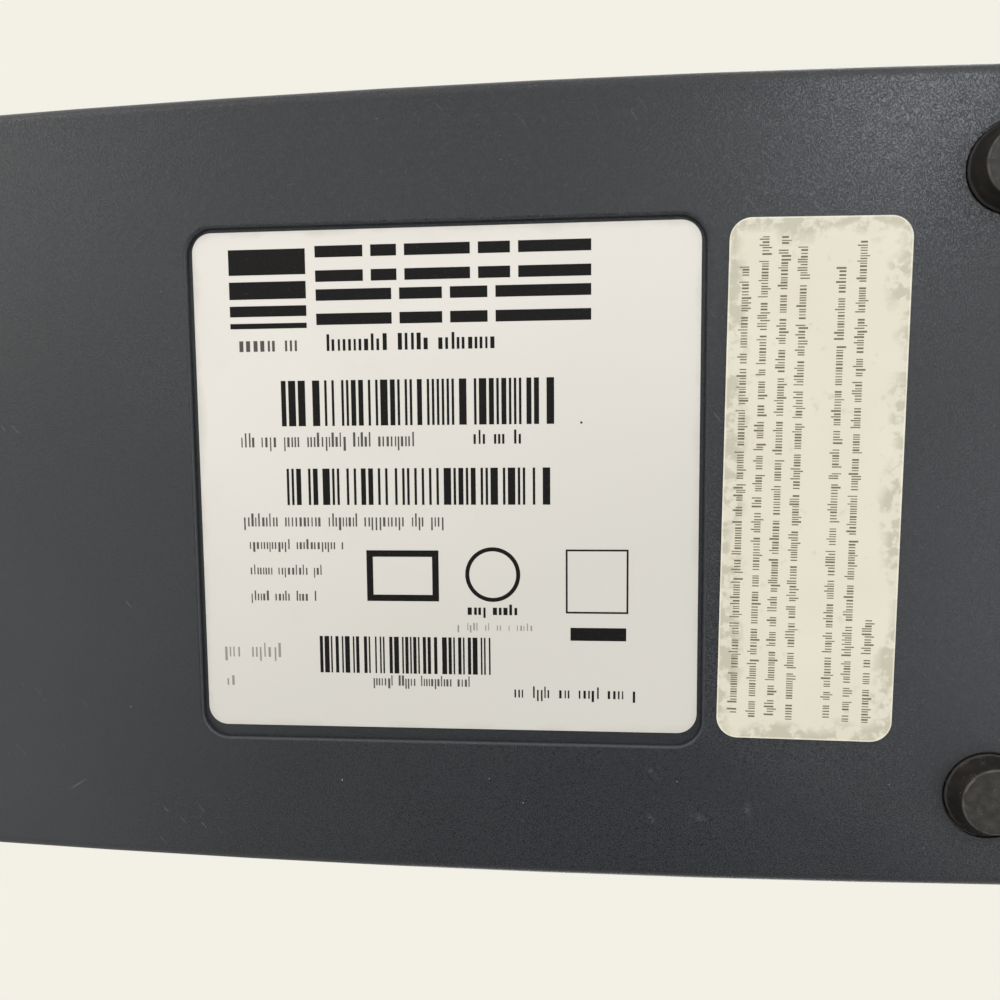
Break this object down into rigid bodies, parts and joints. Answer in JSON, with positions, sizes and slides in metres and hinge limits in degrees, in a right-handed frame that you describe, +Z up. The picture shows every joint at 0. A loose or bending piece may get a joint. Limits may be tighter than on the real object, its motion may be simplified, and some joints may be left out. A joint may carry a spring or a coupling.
{
  "type": "cheque scanner",
  "caption": "Desk-top cheque scanner with a round nose, U-shaped track, hopper and exit pocket, turn door, cartridge lid and labelled underside on rubber feet.",
  "frame": {"origin": "on the table, under the middle of the body's box", "axes": "+X towards the open end of the pockets, +Y the rear side with the hopper and sockets, +Z up"},
  "size_m": [0.236, 0.12, 0.16],
  "materials": {
    "base_plastic": "moulded ABS, fine spark-eroded texture, dark blue-grey",
    "cover_plastic": "moulded ABS, fine texture, dark blue-grey",
    "lid_plastic": "moulded ABS, fine texture, a little lighter",
    "track_plastic": "moulded ABS, smoother track floor",
    "white_label": "printed white polyester label, semi-matt",
    "cream_label": "printed cream paper label, stained with age",
    "foot_rubber": "moulded black-brown rubber",
    "tyre_rubber": "ground grey rubber",
    "pad_rubber": "tan friction rubber",
    "pad_felt": "soft felt",
    "belt_rubber": "flat rubber belt",
    "steel": "ground steel",
    "plated_steel": "zinc-plated steel",
    "brass": "sintered bronze bush",
    "motor_metal": "black-lacquered steel laminations",
    "sensor_plastic": "black sensor body",
    "sensor_glass": "float glass",
    "circuit_board": "green solder mask",
    "socket_plastic": "black nylon",
    "roller_plastic": "natural acetal",
    "mechanism_plastic": "grey acetal",
    "latch_plastic": "green latch lever",
    "cartridge_plastic": "black cartridge body",
    "button_plastic": "grey button",
    "lens_plastic": "clear light pipe",
    "magnet": "nickel-plated magnet"
  },
  "bodies": {
    "base": {"base_pan": "base_plastic", "rating_label": "white_label", "notice_label": "cream_label", "rubber_feet": "foot_rubber", "housing_screws": "plated_steel", "main_board": "circuit_board", "usb_socket": "socket_plastic", "power_inlet": "socket_plastic", "lock_plate": "plated_steel", "drive_motor": "motor_metal", "drive_belt": "belt_rubber", "track_deck": "track_plastic", "roller_bushes": "brass", "bearing_posts": "plated_steel", "bearing_plate": "plated_steel", "rear_cover": "cover_plastic", "front_cover": "cover_plastic", "door_hinge_pin": "steel", "exit_idler_spindle": "steel", "centre_housing": "cover_plastic", "lid_hinge_pin": "steel", "read_head": "steel", "pressure_pad": "pad_felt", "charge_magnet": "magnet", "inner_image_sensor": "sensor_plastic", "outer_image_sensor": "sensor_plastic", "sensor_glasses": "sensor_glass", "item_sensors": "sensor_plastic", "ink_cartridge": "cartridge_plastic", "cartridge_cradle": "mechanism_plastic", "latch_pin": "steel", "pusher_pin": "steel", "separator_pin": "steel", "flap_pin": "steel", "switch_board": "circuit_board", "status_lens": "lens_plastic"},
    "turn_door": {"turn_door": "cover_plastic", "door_idler_spindles": "steel"},
    "top_lid": {"top_lid": "lid_plastic"},
    "motor_rotor": {"motor_pulley": "steel"},
    "rear_turn_idler": {"rear_turn_idler": "roller_plastic"},
    "front_turn_idler": {"front_turn_idler": "roller_plastic"},
    "exit_idler": {"exit_idler": "roller_plastic"},
    "hopper_pusher": {"hopper_pusher": "mechanism_plastic"},
    "separator": {"separator_arm": "mechanism_plastic", "separator_pad": "pad_rubber"},
    "exit_flap": {"exit_flap": "mechanism_plastic"},
    "pocket_stop": {"pocket_stop": "mechanism_plastic"},
    "power_button": {"power_button": "button_plastic"},
    "cartridge_latch": {"cartridge_latch": "latch_plastic"},
    "pick_roller": {"pick_roller": "steel", "pick_roller_tyres": "tyre_rubber"},
    "feed_roller": {"feed_roller": "steel", "feed_roller_tyres": "tyre_rubber"},
    "rear_turn_roller": {"rear_turn_roller": "steel", "rear_turn_roller_tyres": "tyre_rubber"},
    "front_turn_roller": {"front_turn_roller": "steel", "front_turn_roller_tyres": "tyre_rubber"},
    "exit_roller": {"exit_roller": "steel", "exit_roller_tyres": "tyre_rubber"}
  },
  "joints": [
    {"name": "turn_door_hinge", "type": "hinge", "parent": "base", "child": "turn_door", "pos_m": [-0.06011, 0.057, 0.105], "axis": [0, 0, 1], "range_deg": [-100, 0]},
    {"name": "top_lid_hinge", "type": "hinge", "parent": "base", "child": "top_lid", "pos_m": [0.0144, 0, 0.155], "axis": [0, 1, 0], "range_deg": [0, 90]},
    {"name": "motor_spin", "type": "hinge", "parent": "base", "child": "motor_rotor", "pos_m": [0.0619, 0, 0.03], "axis": [0, 0, 1], "continuous": true},
    {"name": "pick_roller_spin", "type": "hinge", "parent": "base", "child": "pick_roller", "pos_m": [0.03791, 0.03, 0.045], "axis": [0, 0, 1], "continuous": true},
    {"name": "feed_roller_spin", "type": "hinge", "parent": "base", "child": "feed_roller", "pos_m": [-0.0021, 0.03, 0.045], "axis": [0, 0, 1], "continuous": true},
    {"name": "rear_turn_roller_spin", "type": "hinge", "parent": "base", "child": "rear_turn_roller", "pos_m": [-0.07511, 0.02598, 0.045], "axis": [0, 0, 1], "continuous": true},
    {"name": "front_turn_roller_spin", "type": "hinge", "parent": "base", "child": "front_turn_roller", "pos_m": [-0.07511, -0.02598, 0.045], "axis": [0, 0, 1], "continuous": true},
    {"name": "exit_roller_spin", "type": "hinge", "parent": "base", "child": "exit_roller", "pos_m": [-0.0021, -0.03, 0.045], "axis": [0, 0, 1], "continuous": true},
    {"name": "rear_turn_idler_spin", "type": "hinge", "parent": "turn_door", "child": "rear_turn_idler", "pos_m": [-0.08301, 0.03966, 0.075], "axis": [0, 0, 1], "continuous": true},
    {"name": "front_turn_idler_spin", "type": "hinge", "parent": "turn_door", "child": "front_turn_idler", "pos_m": [-0.08301, -0.03966, 0.075], "axis": [0, 0, 1], "continuous": true},
    {"name": "exit_idler_spin", "type": "hinge", "parent": "base", "child": "exit_idler", "pos_m": [-0.0021, -0.0458, 0.075], "axis": [0, 0, 1], "continuous": true},
    {"name": "hopper_pusher_swing", "type": "hinge", "parent": "base", "child": "hopper_pusher", "pos_m": [0.0244, 0.05272, 0.07], "axis": [0, 0, 1], "range_deg": [0, 18], "stiffness_Nm_per_rad": 0.02, "springref_deg": -17.19},
    {"name": "separator_swing", "type": "hinge", "parent": "base", "child": "separator", "pos_m": [-0.0161, 0.0501, 0.075], "axis": [0, 0, 1], "range_deg": [0, 4], "stiffness_Nm_per_rad": 0.05, "springref_deg": -5.73},
    {"name": "exit_flap_swing", "type": "hinge", "parent": "base", "child": "exit_flap", "pos_m": [0.0119, -0.034, 0.075], "axis": [0, 0, 1], "range_deg": [0, 14], "stiffness_Nm_per_rad": 0.002, "springref_deg": -11.46},
    {"name": "pocket_stop_slide", "type": "slide", "parent": "base", "child": "pocket_stop", "axis": [1, 0, 0], "range_m": [-0.0341, 0.018]},
    {"name": "power_button_press", "type": "slide", "parent": "base", "child": "power_button", "axis": [0, 1, 0], "range_m": [0, 0.0015], "stiffness_N_per_m": 300, "springref_m": -0.001},
    {"name": "cartridge_latch_swing", "type": "hinge", "parent": "base", "child": "cartridge_latch", "pos_m": [-0.02311, 0.00798, 0.0996], "axis": [1, 0, 0], "range_deg": [-26, 0]}
  ],
  "couplings": [
    {"joint": "pick_roller_spin", "follows": "motor_spin", "ratio": 0.625},
    {"joint": "feed_roller_spin", "follows": "motor_spin", "ratio": 0.625},
    {"joint": "rear_turn_roller_spin", "follows": "motor_spin", "ratio": 0.625},
    {"joint": "front_turn_roller_spin", "follows": "motor_spin", "ratio": 0.625},
    {"joint": "exit_roller_spin", "follows": "motor_spin", "ratio": 0.625},
    {"joint": "rear_turn_idler_spin", "follows": "motor_spin", "ratio": -0.86538},
    {"joint": "front_turn_idler_spin", "follows": "motor_spin", "ratio": -0.86538},
    {"joint": "exit_idler_spin", "follows": "motor_spin", "ratio": -0.86538}
  ]
}
